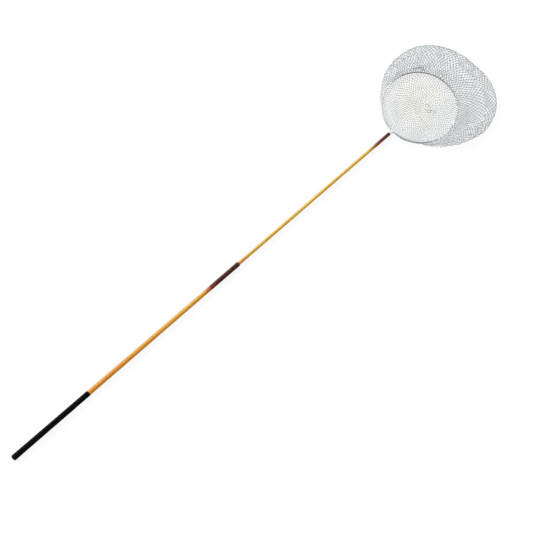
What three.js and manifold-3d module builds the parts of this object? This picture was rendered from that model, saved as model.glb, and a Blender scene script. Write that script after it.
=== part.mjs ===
// Telescopic shrimp net: a two-section lacquered pole, a wire hoop and a soft netting bag,
// drawn out to full length and laid flat.
// Millimetres. +X runs along the pole from the butt to the hoop, +Z is up, and the origin is
// the centre of the butt cap's flat face. The hoop lies in the plane z = 0.
import * as THREE from 'three';
import { mergeVertices } from 'three/addons/utils/BufferGeometryUtils.js';
import Module from 'manifold-3d';

// Pole sections
const poleLength = 1200;
const mouthPosition = 715;
const buttTubeDiameter = 13.3;
const mouthDiameter = 9.9;
const buttTubeWall = 0.8;
const tipInsertLength = 60;
const slideClearance = 0.1;
const tipDiameter = 7.2;
const tipTubeWall = 0.65;
const tubeEndBevel = 0.2;

// Grip sleeve and butt cap
const gripLength = 232;
const gripWall = 0.4;
const gripLipLength = 5;
const gripLipHeight = 0.25;
const glueGap = 0.05;
const capHeadLength = 6;
const capHeadOverhang = 0.1;
const capFaceDiameter = 8.6;
const capSeatGap = 0.1;
const spigotLength = 24;
const spigotRibCount = 4;
const spigotRibHeight = 0.55;
const spigotClearance = 0.1;
const spigotBoreDiameter = 6.4;
const spigotTipTaper = 3;

// Lacquered thread wraps
const mouthWrapLength = 89;
const mouthWrapStartWall = 0.2;
const mouthWrapEndWall = 0.45;
const mouthCollarLength = 5;
const mouthCollarHeight = 0.15;
const tipWrapLength = 48;
const tipWrapWall = 0.25;
const wrapRunout = 4;
const wrapFeatherWall = 0.08;

// Hoop wire and its slotted dowel
const hoopRadius = 87.5;
const hoopReach = 97.5;
const wireDiameter = 2.5;
const legGap = 0.2;
const legLength = 42;
const neckBendRadius = 9;
const dowelLength = 50;
const dowelClearance = 0.1;
const dowelSlotClearance = 0.15;
const dowelSlotFloor = 5;
const dowelBevel = 0.6;

// Netting bag
const bagWall = 0.3;
const rimGap = 0.3;
const bagShift = new THREE.Vector2(46, -8);
const bagRadius = 130;
const bagOvalSwell = 5.1;
const bagOvalTurn = THREE.MathUtils.degToRad(-55.5);
const bagCornerSwell = 4.2;
const bagCornerTurn = THREE.MathUtils.degToRad(-59);
const bagPuffHeight = 19;
const bagPuffReach = 50;
const bagToeRadius = 2.5;
const hookStartAngle = THREE.MathUtils.degToRad(215);
const hookLeaveAngle = THREE.MathUtils.degToRad(75);
const neckOpening = 26;

// Openings of the netting, drawn as a plain diamond grid with far fewer meshes than the real
// one. Its strands cross at the closing tie.
const gridPitch = 27;
const strandWidth = 3;
const rimBand = 4;
const edgeBand = 3;
const tiePatchDiameter = 14;
const leastOpening = 6;

// Closing tie at the bottom of the bag, placed from the hoop's centre
const tiePosition = new THREE.Vector2(12, -20);
const tieDiameter = 7;
const tieCordDiameter = 1.2;
const tieSeatGap = 0.3;

// Facets
const roundSegments = 32;
const wireSides = 12;
const bendSteps = 7;
const ringSteps = 84;
const bagColumns = 60;
const hookSteps = 5;
const wallSteps = 6;
const openingSteps = 36;
const facetTolerance = 0.02;

// Sizes that follow from those above
const mouthRadius = mouthDiameter / 2;
const wireRadius = wireDiameter / 2;
const hoopCentreX = poleLength + hoopReach;
const tipBaseX = mouthPosition - tipInsertLength;
const gripStartX = capHeadLength + capSeatGap;
const gripEndX = gripStartX + gripLength;
const capHeadRadius = buttTubeDiameter / 2 + glueGap + gripWall + capHeadOverhang;
const floorZ = -capHeadRadius;

// Outer radius of the butt tube at a place along the pole.
function buttTubeRadius(x) {
  return THREE.MathUtils.mapLinear(x, gripStartX, mouthPosition, buttTubeDiameter / 2, mouthRadius);
}

// Bore radius of the butt tube.
function buttBoreRadius(x) {
  return buttTubeRadius(x) - buttTubeWall;
}

// Outer radius of the tip tube: it follows the bore where it seats, then tapers to the tip.
function tipTubeRadius(x) {
  if (x <= mouthPosition) return buttBoreRadius(x) - slideClearance;
  const seatRadius = buttBoreRadius(mouthPosition) - slideClearance;
  return THREE.MathUtils.mapLinear(x, mouthPosition, poleLength, seatRadius, tipDiameter / 2);
}

// Bore radius of the tip tube.
function tipBoreRadius(x) {
  return tipTubeRadius(x) - tipTubeWall;
}

// A point of a turned profile: place along the pole, then radius.
function at(x, radius) {
  return new THREE.Vector2(radius, x);
}

// Leaves only positions, welds them, drops triangles that collapse on an axis and turns
// the faces outwards.
function closedBody(geometry) {
  geometry.deleteAttribute('normal');
  geometry.deleteAttribute('uv');
  const welded = mergeVertices(geometry, 1e-4);
  const position = welded.getAttribute('position');
  const kept = [];
  let volume = 0;
  const a = new THREE.Vector3();
  const b = new THREE.Vector3();
  const c = new THREE.Vector3();
  for (let i = 0; i < welded.index.count; i += 3) {
    const corners = [0, 1, 2].map((k) => welded.index.getX(i + k));
    if (new Set(corners).size < 3) continue;
    kept.push(corners);
    a.fromBufferAttribute(position, corners[0]);
    b.fromBufferAttribute(position, corners[1]);
    c.fromBufferAttribute(position, corners[2]);
    volume += a.dot(b.cross(c));
  }
  const outward = volume > 0 ? kept : kept.map(([p, q, r]) => [p, r, q]);
  welded.setIndex(outward.flat());
  welded.computeVertexNormals();
  return welded;
}

// Turns a closed profile round the pole's axis.
function turned(profile) {
  const geometry = new THREE.LatheGeometry([...profile, profile[0]], roundSegments);
  geometry.rotateZ(-Math.PI / 2);
  return closedBody(geometry);
}

// A profile point list that follows an outer and an inner radius between two places, with
// bevelled ends.
function tubeProfile(startX, endX, outerRadius, innerRadius, stations = []) {
  const places = [startX + tubeEndBevel, ...stations, endX - tubeEndBevel];
  return [
    at(startX, outerRadius(startX) - tubeEndBevel),
    ...places.map((x) => at(x, outerRadius(x))),
    at(endX, outerRadius(endX) - tubeEndBevel),
    at(endX, innerRadius(endX)),
    ...stations.toReversed().map((x) => at(x, innerRadius(x))),
    at(startX, innerRadius(startX)),
  ];
}

// Named mesh with its own material.
function part(name, geometry, color, roughness, metalness = 0) {
  const material = new THREE.MeshStandardMaterial({ color, roughness, metalness });
  const mesh = new THREE.Mesh(geometry, material);
  mesh.name = name;
  return mesh;
}

const wasm = await Module();
wasm.setup();

// A closed geometry as a solid that can be cut and joined.
function solidOf(geometry) {
  const body = closedBody(geometry);
  const mesh = new wasm.Mesh({
    numProp: 3,
    vertProperties: body.getAttribute('position').array,
    triVerts: new Uint32Array(body.index.array),
  });
  return new wasm.Manifold(mesh);
}

// A solid back as a geometry.
function geometryOf(solid) {
  const mesh = solid.getMesh();
  const geometry = new THREE.BufferGeometry();
  geometry.setAttribute('position', new THREE.BufferAttribute(mesh.vertProperties, 3));
  geometry.setIndex(new THREE.BufferAttribute(mesh.triVerts, 1));
  geometry.computeVertexNormals();
  return geometry;
}

// Lower pole section, a tapered tube that narrows to the mouth.
function buttTube() {
  const profile = tubeProfile(gripStartX, mouthPosition, buttTubeRadius, buttBoreRadius);
  return turned(profile);
}

// Upper pole section. Its base follows the bore's taper, and that friction holds it.
function tipTube() {
  return turned(tubeProfile(tipBaseX, poleLength, tipTubeRadius, tipBoreRadius, [mouthPosition]));
}

// Thin black sleeve shrunk onto the butt tube, with a low rolled lip at its upper end.
function gripSleeve() {
  const inner = (x) => buttTubeRadius(x) + glueGap;
  const outer = (x) => inner(x) + gripWall;
  const lipStartX = gripEndX - gripLipLength;
  const lipCrestX = gripEndX - gripLipLength / 2;
  return turned([
    at(gripStartX, inner(gripStartX)),
    at(gripStartX, outer(gripStartX)),
    at(lipStartX, outer(lipStartX)),
    at(lipStartX + gripLipLength / 4, outer(lipStartX) + gripLipHeight * 0.7),
    at(lipCrestX, outer(lipCrestX) + gripLipHeight),
    at(gripEndX - gripLipLength / 6, outer(gripEndX) + gripLipHeight * 0.7),
    at(gripEndX, outer(gripEndX) - gripWall / 3),
    at(gripEndX, inner(gripEndX)),
  ]);
}

// Push-in rubber cap: rounded head, then a hollow spigot with ribs that grip the bore.
function buttCap() {
  const faceRadius = capFaceDiameter / 2;
  const edge = new THREE.EllipseCurve(
    capHeadRadius - faceRadius, faceRadius,
    capHeadRadius - faceRadius, capHeadRadius - faceRadius,
    Math.PI, Math.PI / 2, true);
  const rounding = edge.getPoints(8).map((p) => at(p.x, p.y));
  const ribRadius = buttBoreRadius(capHeadLength + spigotLength) - spigotClearance;
  const coreRadius = ribRadius - spigotRibHeight;
  const spigotEndX = capHeadLength + spigotLength;
  const ribPitch = (spigotLength - spigotTipTaper) / (spigotRibCount + 0.5);
  const ribs = [];
  for (let rib = 0; rib < spigotRibCount; rib += 1) {
    const ribX = capHeadLength + (rib + 0.5) * ribPitch;
    ribs.push(
      at(ribX, coreRadius),
      at(ribX + ribPitch * 0.15, ribRadius),
      at(ribX + ribPitch * 0.4, ribRadius),
      at(ribX + ribPitch * 0.75, coreRadius));
  }
  const boreRadius = spigotBoreDiameter / 2;
  const profile = [
    at(0, 0),
    ...rounding,
    at(capHeadLength, capHeadRadius),
    at(capHeadLength, coreRadius),
    ...ribs,
    at(spigotEndX - spigotTipTaper, coreRadius),
    at(spigotEndX, coreRadius - spigotRibHeight),
    at(spigotEndX, boreRadius),
    at(capHeadLength, boreRadius),
    at(capHeadLength, 0),
  ];
  return turned(profile);
}

// A lacquered wrap on a tube: its wall feathers in, grows along it and may end in a collar.
function wrapProfile(startX, endX, tubeRadius, startWall, endWall, collarLength, collarHeight) {
  const inner = (x) => tubeRadius(x) + glueGap;
  const wall = (x) => THREE.MathUtils.mapLinear(x, startX, endX, startWall, endWall);
  const outer = (x) => inner(x) + wall(x);
  const collarX = endX - collarLength;
  const profile = [
    at(startX, inner(startX)),
    at(startX, inner(startX) + wrapFeatherWall),
    at(startX + wrapRunout / 2, inner(startX + wrapRunout / 2) + startWall * 0.75),
    at(startX + wrapRunout, outer(startX + wrapRunout)),
  ];
  if (collarLength > 0) {
    profile.push(
      at(collarX, outer(collarX)),
      at(collarX + collarHeight, outer(collarX) + collarHeight));
  }
  profile.push(
    at(endX - tubeEndBevel, outer(endX) + collarHeight),
    at(endX, outer(endX) + collarHeight - tubeEndBevel),
    at(endX, inner(endX)));
  return profile;
}

// Wrap that keeps the butt section's mouth from splitting.
function mouthWrap() {
  return turned(wrapProfile(
    mouthPosition - mouthWrapLength, mouthPosition, buttTubeRadius,
    mouthWrapStartWall, mouthWrapEndWall, mouthCollarLength, mouthCollarHeight));
}

// Wrap round the pole's tip, over the wire legs' seat.
function tipWrap() {
  return turned(wrapProfile(
    poleLength - tipWrapLength, poleLength, tipTubeRadius,
    tipWrapWall, tipWrapWall, 0, 0));
}

// Slotted dowel glued in the pole's tip. The wire legs lie in its slot.
function neckDowel() {
  const startX = poleLength - dowelLength;
  const radius = tipBoreRadius(poleLength) - dowelClearance;
  const dowel = turned([
    at(startX, 0),
    at(startX, radius - dowelBevel),
    at(startX + dowelBevel, radius),
    at(poleLength - dowelBevel / 2, radius),
    at(poleLength, radius - dowelBevel / 2),
    at(poleLength, 0),
  ]);
  const slotHeight = wireDiameter + 2 * dowelSlotClearance;
  const slotLength = dowelLength;
  const slot = new THREE.BoxGeometry(slotLength, radius * 3, slotHeight);
  slot.translate(startX + dowelSlotFloor + slotLength / 2, 0, 0);
  return geometryOf(solidOf(dowel).subtract(solidOf(slot)));
}

// Centre line of the hoop wire: leg, outward bend, the ring, then the mirrored bend and leg.
// Each stretch takes its own number of steps.
class HoopLine extends THREE.Curve {
  constructor() {
    super();
    this.legOffset = wireRadius + legGap / 2;
    this.bendCentreY = this.legOffset + neckBendRadius;
    const reach = Math.sqrt((hoopRadius + neckBendRadius) ** 2 - this.bendCentreY ** 2);
    this.bendCentreX = hoopCentreX - reach;
    this.neckAngle = Math.atan2(this.bendCentreY, reach);
    this.steps = [1, bendSteps, ringSteps, bendSteps, 1];
    this.stepCount = this.steps.reduce((sum, count) => sum + count, 0);
  }

  // Equal steps of the parameter, so that short bends are as smooth as the ring.
  getUtoTmapping(u) {
    return u;
  }

  getPoint(t, target = new THREE.Vector3()) {
    let step = t * this.stepCount;
    let stretch = 0;
    while (stretch < this.steps.length - 1 && step > this.steps[stretch]) {
      step -= this.steps[stretch];
      stretch += 1;
    }
    const share = step / this.steps[stretch];
    if (stretch === 0) return this.legPoint(share, 1, target);
    if (stretch === 1) return this.bendPoint(share, 1, target);
    if (stretch === 2) return this.ringPoint(share, target);
    if (stretch === 3) return this.bendPoint(1 - share, -1, target);
    return this.legPoint(1 - share, -1, target);
  }

  legPoint(share, side, target) {
    const startX = poleLength - legLength;
    return target.set(THREE.MathUtils.lerp(startX, this.bendCentreX, share), side * this.legOffset, 0);
  }

  bendPoint(share, side, target) {
    const angle = THREE.MathUtils.lerp(-Math.PI / 2, -this.neckAngle, share);
    const x = this.bendCentreX + neckBendRadius * Math.cos(angle);
    const y = this.bendCentreY + neckBendRadius * Math.sin(angle);
    return target.set(x, side * y, 0);
  }

  ringPoint(share, target) {
    const firstAngle = Math.PI - this.neckAngle;
    const angle = THREE.MathUtils.lerp(firstAngle, -firstAngle, share);
    return target.set(hoopCentreX + hoopRadius * Math.cos(angle), hoopRadius * Math.sin(angle), 0);
  }
}

// A round section, as a shape.
function roundSection(radius, sides) {
  const points = [];
  for (let side = 0; side < sides; side += 1) {
    const angle = (2 * Math.PI * side) / sides;
    points.push(new THREE.Vector2(radius * Math.cos(angle), radius * Math.sin(angle)));
  }
  return new THREE.Shape(points);
}

// One wire bent into a ring, its two legs side by side in the pole's tip.
function hoopWire() {
  const line = new HoopLine();
  return closedBody(new THREE.ExtrudeGeometry(roundSection(wireRadius, wireSides), {
    extrudePath: line,
    steps: line.stepCount,
    bevelEnabled: false,
  }));
}

// Distance from the bag's own centre to its outline, seen from above.
function bagOutline(angle) {
  const oval = bagOvalSwell * Math.cos(2 * (angle - bagOvalTurn));
  const corners = bagCornerSwell * Math.cos(3 * (angle - bagCornerTurn));
  return bagRadius + oval + corners;
}

// Distance from the hoop's centre to the bag's outline in one direction. The outline is
// measured from the bag's centre, so the distance is closed in on in a few rounds.
function bagReach(angle) {
  const direction = new THREE.Vector2(Math.cos(angle), Math.sin(angle));
  const along = direction.dot(bagShift);
  const across = direction.cross(bagShift);
  let reach = bagRadius;
  for (let round = 0; round < 8; round += 1) {
    const fromBag = direction.clone().multiplyScalar(reach).sub(bagShift);
    reach = along + Math.sqrt(bagOutline(fromBag.angle()) ** 2 - across ** 2);
  }
  return reach;
}

// Middle line of the netting in the upright plane through the hoop's axis at one angle, from
// its free edge to where it touches the floor. The edge hooks over the wire, then the wall
// puffs out and comes down.
function nettingLine(angle) {
  const hookRadius = wireRadius + rimGap + bagWall / 2;
  const restZ = floorZ + bagWall / 2;
  const spread = Math.max(bagReach(angle) - bagWall / 2 - hoopRadius - hookRadius, 0);
  const puff = THREE.MathUtils.smoothstep(spread, 0, bagPuffReach);
  const hook = new THREE.EllipseCurve(
    hoopRadius, 0, hookRadius, hookRadius, hookStartAngle, hookLeaveAngle * puff, true);
  const hookEnd = hook.getPoint(1);
  const riseZ = THREE.MathUtils.lerp(floorZ * 0.4, 2.1 * bagPuffHeight, puff);
  const wall = new THREE.CubicBezierCurve(
    hookEnd,
    new THREE.Vector2(hookEnd.x + 0.5 * spread, riseZ),
    new THREE.Vector2(hookEnd.x + 1.47 * spread + 2 * bagWall, restZ),
    new THREE.Vector2(hookEnd.x + 0.75 * spread - bagToeRadius, restZ));
  return [...hook.getPoints(hookSteps), ...wall.getPoints(wallSteps).slice(1)];
}

// Section of the netting's skin at one angle: from the hoop's axis over the flat bottom and
// along one face of the netting line, round the free edge and back along the other face.
function nettingSection(angle) {
  const line = nettingLine(angle);
  const face = (side) => line.map((point, row) => {
    const along = line[Math.min(row + 1, line.length - 1)].clone().sub(line[Math.max(row - 1, 0)]);
    const offset = new THREE.Vector2(-along.y, along.x).setLength((side * bagWall) / 2);
    return point.clone().add(offset);
  });
  const underside = new THREE.Vector2(0, floorZ);
  const topside = new THREE.Vector2(0, floorZ + bagWall);
  return [topside, ...face(-1).toReversed(), ...face(1), underside];
}

// Diamond cells between the grid's strands, as a flat figure round the hoop's centre.
function gridCells() {
  const cells = [];
  const reach = Math.ceil((2 * bagRadius) / gridPitch);
  for (let row = -reach; row < reach; row += 1) {
    for (let column = -reach; column < reach; column += 1) {
      const cell = wasm.CrossSection.square(gridPitch - strandWidth, true);
      cells.push(cell.translate([(column + 0.5) * gridPitch, (row + 0.5) * gridPitch]));
    }
  }
  return wasm.CrossSection.union(cells).rotate(45).translate(tiePosition.toArray());
}

// Cutters for the netting's openings. Beyond the rim they go through the wall and the bottom,
// and under the hoop through the bottom alone. The tie keeps a closed patch below it, and
// slivers of a cell that are too narrow to show are left closed.
function gridCutters() {
  const edge = [];
  for (let column = 0; column < bagColumns; column += 1) {
    const angle = (2 * Math.PI * column) / bagColumns - Math.PI;
    const reach = bagReach(angle) - edgeBand;
    edge.push([reach * Math.cos(angle), reach * Math.sin(angle)]);
  }
  const patch = wasm.CrossSection.circle(tiePatchDiameter / 2, openingSteps / 3)
    .translate(tiePosition.toArray());
  const rimReach = hoopRadius + wireRadius + rimGap + bagWall + rimBand;
  const rim = wasm.CrossSection.circle(rimReach, openingSteps);
  const cells = gridCells().intersect(new wasm.CrossSection([edge]));
  const wide = (figure) => figure.offset(-leastOpening / 2, 'Miter').offset(leastOpening / 2, 'Miter');
  const startZ = floorZ - bagWall;
  const bottomCut = wide(cells.subtract(patch)).extrude(3 * bagWall).translate([0, 0, startZ]);
  const wallCut = wide(cells.subtract(rim)).extrude(4 * bagPuffHeight).translate([0, 0, startZ]);
  return bottomCut.add(wallCut);
}

// The bag as a thin closed shell, open at the hoop. Its rim stops on each side of the neck,
// where the wire leaves the ring.
function nettingBag() {
  const positions = [];
  const index = [];
  const sections = [];
  for (let column = 0; column < bagColumns; column += 1) {
    const angle = (2 * Math.PI * column) / bagColumns - Math.PI;
    sections.push(nettingSection(angle));
    for (const p of sections[column]) {
      positions.push(p.x * Math.cos(angle), p.x * Math.sin(angle), p.y);
    }
  }
  const length = sections[0].length;
  for (let column = 0; column < bagColumns; column += 1) {
    const here = column * length;
    const next = ((column + 1) % bagColumns) * length;
    for (let row = 0; row < length - 1; row += 1) {
      index.push(here + row, here + row + 1, next + row + 1);
      index.push(here + row, next + row + 1, next + row);
    }
  }
  const skin = new THREE.BufferGeometry();
  skin.setAttribute('position', new THREE.Float32BufferAttribute(positions, 3));
  skin.setIndex(index);

  const neckHeight = 2 * (wireRadius + rimGap) + 2 * bagWall;
  const neckDepth = 2 * neckHeight;
  const neck = new THREE.BoxGeometry(neckDepth, neckOpening, neckHeight);
  neck.translate(-hoopRadius, 0, neckHeight / 2 - wireRadius - rimGap);
  const netting = solidOf(skin).subtract(solidOf(neck)).subtract(gridCutters());
  const bag = geometryOf(netting.asOriginal().simplify(facetTolerance));
  bag.translate(hoopCentreX, 0, 0);
  return bag;
}

// Ring of doubled cord that draws the bottom meshes together. It lies on the bag's bottom.
function closingTie() {
  const cordRadius = tieCordDiameter / 2;
  const ringRadius = tieDiameter / 2 - cordRadius;
  const section = roundSection(cordRadius, 8).getPoints();
  const ring = new THREE.LatheGeometry(
    [...section, section[0]].map((p) => new THREE.Vector2(ringRadius + p.x, p.y)), 20);
  ring.rotateX(Math.PI / 2);
  return closedBody(ring);
}

// Butt section: tube, grip sleeve and mouth wrap, fixed to each other.
const buttSection = new THREE.Group();
buttSection.add(
  part('butt_tube', buttTube(), 0xbe8237, 0.25),
  part('grip_sleeve', gripSleeve(), 0x0b0c0d, 0.6),
  part('mouth_wrap', mouthWrap(), 0x4a1814, 0.25));

// Cap that pulls out of the butt.
const cap = new THREE.Group();
cap.add(part('butt_cap', buttCap(), 0x111213, 0.75));

// Tip section: tube, wrap, dowel, hoop and bag. It slides into the butt section.
const tipSection = new THREE.Group();
const tie = part('bag_tie', closingTie(), 0xd8dcdc, 0.5);
tie.position.set(
  hoopCentreX + tiePosition.x,
  tiePosition.y,
  floorZ + bagWall + tieSeatGap + tieCordDiameter / 2);
tipSection.add(
  part('tip_tube', tipTube(), 0xc5a055, 0.25),
  part('tip_wrap', tipWrap(), 0x3a211b, 0.25),
  part('neck_dowel', neckDowel(), 0xb99a6b, 0.7),
  part('hoop_wire', hoopWire(), 0x8f9498, 0.25, 1),
  part('net_bag', nettingBag(), 0xd5dadb, 0.5),
  tie);

const shrimpNet = new THREE.Group();
shrimpNet.add(buttSection, cap, tipSection);

export default shrimpNet;
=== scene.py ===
import math

import bpy
import numpy as np
from mathutils import Matrix, Vector


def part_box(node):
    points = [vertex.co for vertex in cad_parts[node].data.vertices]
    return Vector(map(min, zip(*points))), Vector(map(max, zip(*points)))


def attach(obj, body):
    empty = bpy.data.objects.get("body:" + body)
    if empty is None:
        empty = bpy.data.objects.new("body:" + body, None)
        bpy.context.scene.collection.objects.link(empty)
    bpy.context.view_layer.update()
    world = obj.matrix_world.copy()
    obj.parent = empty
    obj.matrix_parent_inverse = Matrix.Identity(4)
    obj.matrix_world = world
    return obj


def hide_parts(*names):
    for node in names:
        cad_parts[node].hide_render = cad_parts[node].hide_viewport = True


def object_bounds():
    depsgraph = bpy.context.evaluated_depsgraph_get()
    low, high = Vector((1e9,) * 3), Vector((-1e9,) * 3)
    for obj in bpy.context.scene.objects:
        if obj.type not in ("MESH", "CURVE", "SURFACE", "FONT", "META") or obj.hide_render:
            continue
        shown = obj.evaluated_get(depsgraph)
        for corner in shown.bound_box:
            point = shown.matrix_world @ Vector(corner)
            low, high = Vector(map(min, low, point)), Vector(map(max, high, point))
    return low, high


# Telescopic shrimp net, drawn out to full length and laid on a pale floor. Metres. +X runs
# along the pole from the butt to the hoop, +Z is up, and the hoop lies in the plane z = 0.

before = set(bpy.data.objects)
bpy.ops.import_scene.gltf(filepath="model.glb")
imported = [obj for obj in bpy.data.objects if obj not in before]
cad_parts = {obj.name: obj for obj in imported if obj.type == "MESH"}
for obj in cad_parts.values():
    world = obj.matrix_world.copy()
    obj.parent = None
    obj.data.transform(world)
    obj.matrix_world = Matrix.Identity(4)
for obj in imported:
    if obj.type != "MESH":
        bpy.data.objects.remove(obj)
cad_low, cad_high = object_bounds()

# The photograph's view: the side it looks from, its roll, what it takes in and the lens
VIEW_AZIMUTH = math.radians(-58.75)
VIEW_ELEVATION = math.radians(67.51)
VIEW_ROLL = math.radians(15.88)
VIEW_TARGET = Vector((0.7591, -0.0476, 0.0))
VIEW_WIDTH = 1.2193
VIEW_LENS = 1000
VIEW_SENSOR = 36
VIEW_FAR_END = 80

# Floor and even light. The floor shows white by one share, and its own shade by the rest
FLOOR_SIZE = 14.0
FLOOR_TONE = 0.97
FLOOR_ROUGHNESS = 0.9
FLOOR_WHITE = 0.91
WORLD_LEVEL = 0.4

# Each light: its name, azimuth and elevation in degrees, strength, and spread in degrees
LIGHTS = (
    ("key_light", 68, 40, 1.65, 20),
    ("side_light", 116, 33, 1.3, 24),
    ("fill_light", -35, 52, 0.25, 60),
)

# Sizes read from the frame
hoop_low, hoop_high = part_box("hoop_wire")
tie_low, tie_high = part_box("bag_tie")
WIRE_RADIUS = (hoop_high.z - hoop_low.z) / 2
HOOP_RADIUS = (hoop_high.y - hoop_low.y) / 2 - WIRE_RADIUS
HOOP_CENTRE = Vector((hoop_high.x - WIRE_RADIUS - HOOP_RADIUS, 0, 0))
TIE_CENTRE = (tie_low + tie_high) / 2
TIE_CORD_RADIUS = (tie_high.z - tie_low.z) / 2
TIE_TURN_RADIUS = (tie_high.x - tie_low.x) / 2 - TIE_CORD_RADIUS
FLOOR_Z = cad_low.z
MOUTH_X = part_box("butt_tube")[1].x
MOUTH_WRAP_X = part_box("mouth_wrap")[0].x
TIP_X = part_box("tip_tube")[1].x
TIP_WRAP_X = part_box("tip_wrap")[0].x

# The bag's outline and the line that its netting follows, as in the solid of the bag
BAG_WALL = 0.0003
RIM_GAP = 0.0003
BAG_SHIFT = Vector((0.046, -0.008))
BAG_RADIUS = 0.130
BAG_OVAL_SWELL = 0.0051
BAG_OVAL_TURN = math.radians(-55.5)
BAG_CORNER_SWELL = 0.0042
BAG_CORNER_TURN = math.radians(-59)
BAG_PUFF_HEIGHT = 0.019
BAG_PUFF_REACH = 0.050
BAG_TOE_RADIUS = 0.0025
HOOK_LEAVE_ANGLE = math.radians(75)
NECK_OPENING = 0.026
OUTLINE_PASSES = 8

# The wall's curve from the wire to the floor: how far out its two control points and its foot
# lie, as shares of the bag's spread, and the first one's height, in puff heights where the bag is
# puffed out and as a share of the floor's depth where it isn't
WALL_RISE_OUT = 0.5
WALL_FALL_OUT = 1.47
WALL_FOOT_OUT = 0.75
WALL_RISE_PUFFED = 2.1
WALL_RISE_FLAT = 0.4
HOOK_POINTS = 6
WALL_POINTS = 80

# Where the netting leaves the solid's outline: it spreads past it by its slack, and it is drawn
# in along two directions from the hoop's centre, each with the most that it moves
BAG_SLACK = 0.032
BAG_DRAWN_IN = ((math.radians(-142), 0.0055), (math.radians(138), 0.0026))
DRAWN_IN_SHARPNESS = 8

# The direction from the hoop's centre in which the wire's painted reflection is darkest, and again
# opposite
WIRE_PAINTED_DARK_ANGLE = math.radians(38)

# Netting of the wall: columns of meshes round the hoop, in rows that hang from the wire. A row
# widens by a share of its distance from the wire
MESH_COUNT = 112
BAR_LENGTH = 0.0060
FIRST_ROW = 0.0042
WALL_CLEAR_END = 0.0022
LONGEST_WALL = 0.16
ROW_WIDENING = 0.75
ROW_STRETCH = 0.97
LEAST_ROW_STEP = 0.0028

# Netting of the floor: rows of meshes round the tie. From a row to the next one in, the narrowest
# gaps close, with some chance in the choice, and the others even out
FLOOR_BAR_LENGTH = 0.0050
FLOOR_MESH_WIDTH = 0.0060
FLOOR_ROW_STEP = 0.0038
FLOOR_DIRECTIONS = 1441
TIE_MESH_COUNT = 9
GAP_CHANCE = 0.25
EVENING_PASSES = 2
EVENING_SHARE = 0.5

# Twine and knots: a bar bows to a side by its slack, and a loop goes round the wire's outside
TWINE_RADIUS = 0.00041
RIM_TWINE_RADIUS = 0.00043
KNOT_RADIUS = 0.00080
BAR_POINTS = 4
SHORTEST_BAR = 0.001
LEAST_SLACK = 0.004
MOST_BOW = 0.0007
MOST_TILT = 0.9
RIM_LOOP_DEGREES = (60, 300)
RIM_LOOP_SHIFT = 0.0007
RIM_LOOP_POINTS = 10
NEAR_ZERO = 1e-9
NETTING_SEED = 11

# A knot: a bead of drawn-up twine with a turn of twine round it, the scale of each, how far the
# knots differ in tilt, size and tone, and how high their middles stay above the floor
BEAD_SHAPE = (1.1, 0.85, 0.8)
KNOT_TURN_SIZE = 0.85
KNOT_TURN_TILT = math.radians(70)
MOST_KNOT_TILT = 0.5
KNOT_SIZES = (0.8, 1.2)
KNOT_TONES = (0.0, 0.8)
KNOT_CLEARANCE = 1.3 * KNOT_RADIUS

# Slow wanders of the netting, each with a wavelength and an amount, and each knot's own scatter.
# Both grow with the distance from the wire and from the tie, as far as these hold the netting
DRIFTS = ((0.060, 0.0007), (0.022, 0.0003), (0.009, 0.00016))
DRIFT_WAVES = 7
DRIFT_WAVE_SPREAD = (0.7, 1.5)
DRIFT_SEED = 4
KNOT_SCATTER = 0.00012
HELD_BY_WIRE = 0.02
HELD_BY_TIE = 0.03
LEAST_LOOSE = 0.1
FLOOR_DRIFT_UP = 0.5

# Tucks: places on the wall by angle round the hoop and distance from the wire, the way the
# tuck runs, its reach, the share by which it draws the netting together, and the number of
# twines that lie side by side along its pleat
TUCKS = (
    (math.radians(49), 0.0068, math.radians(-34), 0.014, 0.70, 2),
    (math.radians(43), 0.0125, math.radians(-34), 0.011, 0.30, 1),
    (math.radians(41), 0.0042, math.radians(-50), 0.005, 0.50, 3),
    (math.radians(-96), 0.012, math.radians(8), 0.012, 0.40, 1),
)
TUCK_HELD_BY_WIRE = 0.007

# Pleats: in twine radii, how far apart the twines lie in the middle and how much more at the ends
PLEAT_SPACING = 2.1
PLEAT_FANNING = 1.6
PLEAT_POINTS = 10

# The tie: turns round the drawn-up meshes, a knot beside them and two tails, each tail with its
# heading and its length. Lifts, the climb and the knot's size are in cord radii. The tails rest
# on two crossed twines
TIE_TURNS = 2
TIE_LIFT = 0.2
TIE_CLIMB = 1.5
TIE_POINTS = 61
TIE_KNOT_LIFT = 2.2
TIE_KNOT_TURNS = 1.5
TIE_KNOT_SIZE = (1.2, 1.5, 0.9)
TIE_KNOT_POINTS = 40
TIE_TAILS = ((0.5, 0.017), (-0.6, 0.013))
TAIL_BEND = 0.9
TAIL_DROP_END = 0.25
TAIL_REST = 4 * TWINE_RADIUS
TAIL_WAVER = 0.0002
TAIL_POINTS = 14


# Camera, floor and light

def direction(azimuth, elevation):
    """Unit vector at an angle from +X towards +Y, and an angle above the floor."""
    level = math.cos(elevation)
    return Vector((level * math.cos(azimuth), level * math.sin(azimuth), math.sin(elevation)))


def add_object(name, data):
    made = bpy.data.objects.new(name, data)
    bpy.context.scene.collection.objects.link(made)
    return made


def make_camera():
    back = direction(VIEW_AZIMUTH - math.pi / 2, VIEW_ELEVATION)
    level = Vector((0, 0, 1)).cross(back).normalized()
    right = math.cos(VIEW_ROLL) * level + math.sin(VIEW_ROLL) * back.cross(level)
    up = back.cross(right)
    data = bpy.data.cameras.new("camera")
    data.lens = VIEW_LENS
    data.sensor_width = VIEW_SENSOR
    data.clip_end = VIEW_FAR_END
    camera = add_object("camera", data)
    distance = VIEW_WIDTH * VIEW_LENS / VIEW_SENSOR
    turn = Matrix((right, up, back)).transposed()
    camera.matrix_world = Matrix.Translation(VIEW_TARGET + back * distance) @ turn.to_4x4()
    bpy.context.scene.camera = camera


make_camera()


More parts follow.
